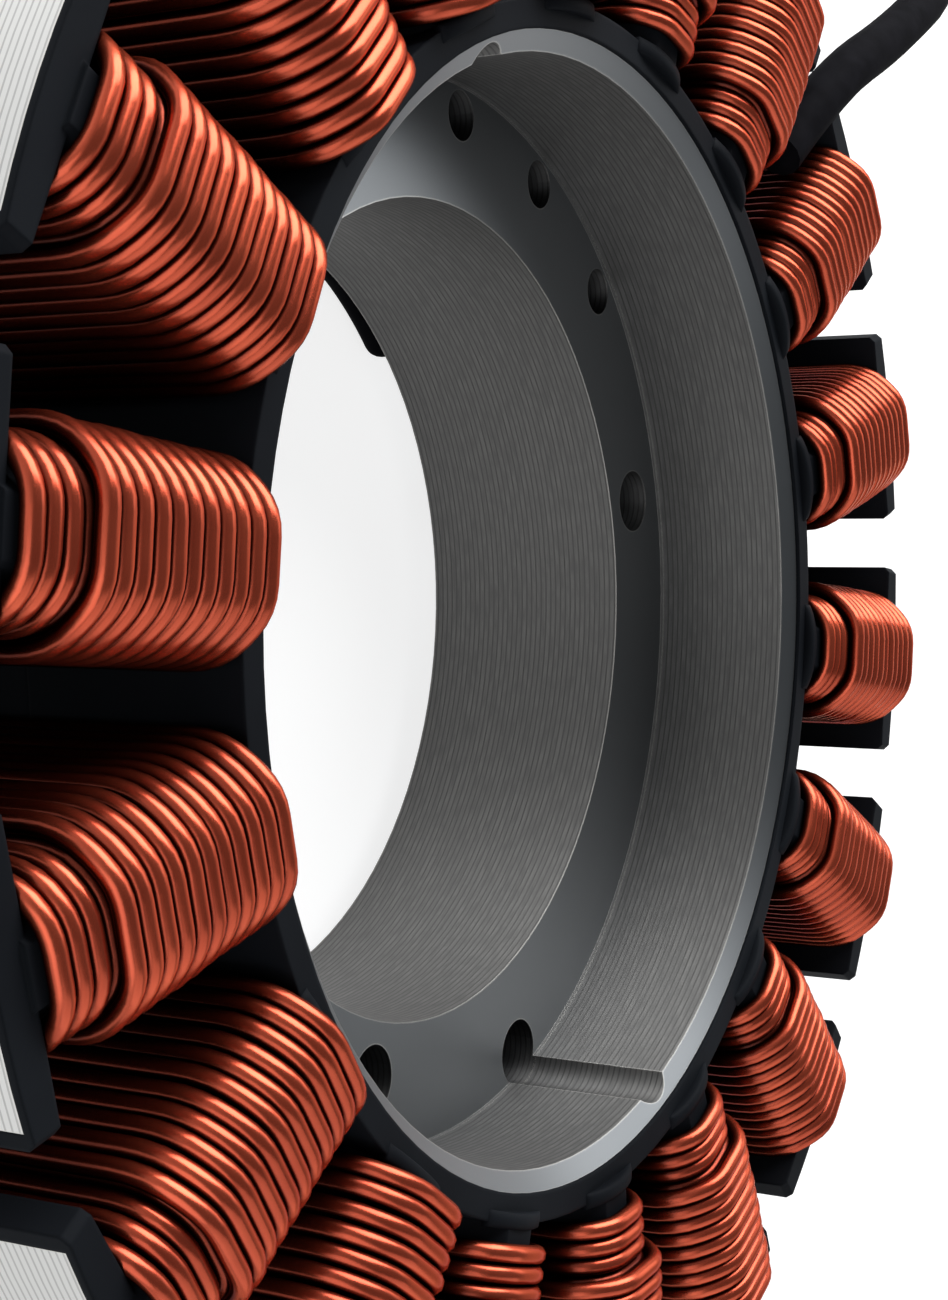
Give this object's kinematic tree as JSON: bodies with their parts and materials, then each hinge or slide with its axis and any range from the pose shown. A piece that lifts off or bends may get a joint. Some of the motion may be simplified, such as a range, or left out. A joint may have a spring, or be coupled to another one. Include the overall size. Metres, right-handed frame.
{
  "type": "wound stator",
  "caption": "Ring-shaped stator with a stepped bore, insulated poles round the outside that each carry a wire coil, and a sleeved lead with a blade connector.",
  "frame": {"origin": "on the bore axis, in the plane of the lowest points of the rear end-turns, on which the stator lies", "axes": "+Z along the bore axis, towards the front with the counterbore; +X through one of the mounting holes and the middle of a pole; the lead is outside the claims"},
  "size_m": [0.1965, 0.2109, 0.0394],
  "materials": {
    "lamination_steel": "satin, with fine lamination lines",
    "enamelled_copper": "glossy orange-brown enamel",
    "moulded_insulator": "satin black moulding",
    "black_sleeving": "satin black",
    "connector_plastic": "matte black",
    "terminal_brass": "bright"
  },
  "bodies": {
    "root": {"front_laminations": "lamination_steel", "rear_laminations": "lamination_steel", "front_insulator": "moulded_insulator", "rear_insulator": "moulded_insulator", "coil_01": "enamelled_copper", "coil_02": "enamelled_copper", "coil_03": "enamelled_copper", "coil_04": "enamelled_copper", "coil_05": "enamelled_copper", "coil_06": "enamelled_copper", "coil_07": "enamelled_copper", "coil_08": "enamelled_copper", "coil_09": "enamelled_copper", "coil_10": "enamelled_copper", "coil_11": "enamelled_copper", "coil_12": "enamelled_copper", "coil_13": "enamelled_copper", "coil_14": "enamelled_copper", "coil_15": "enamelled_copper", "coil_16": "enamelled_copper", "coil_17": "enamelled_copper", "coil_18": "enamelled_copper", "phase_crossover_a": "enamelled_copper", "phase_crossover_b": "enamelled_copper", "phase_crossover_c": "enamelled_copper", "star_joint_sleeve": "black_sleeving", "lead_sleeve": "black_sleeving", "lead_coil": "black_sleeving", "connector_housing": "connector_plastic", "connector_terminals": "terminal_brass"}
  },
  "joints": []
}
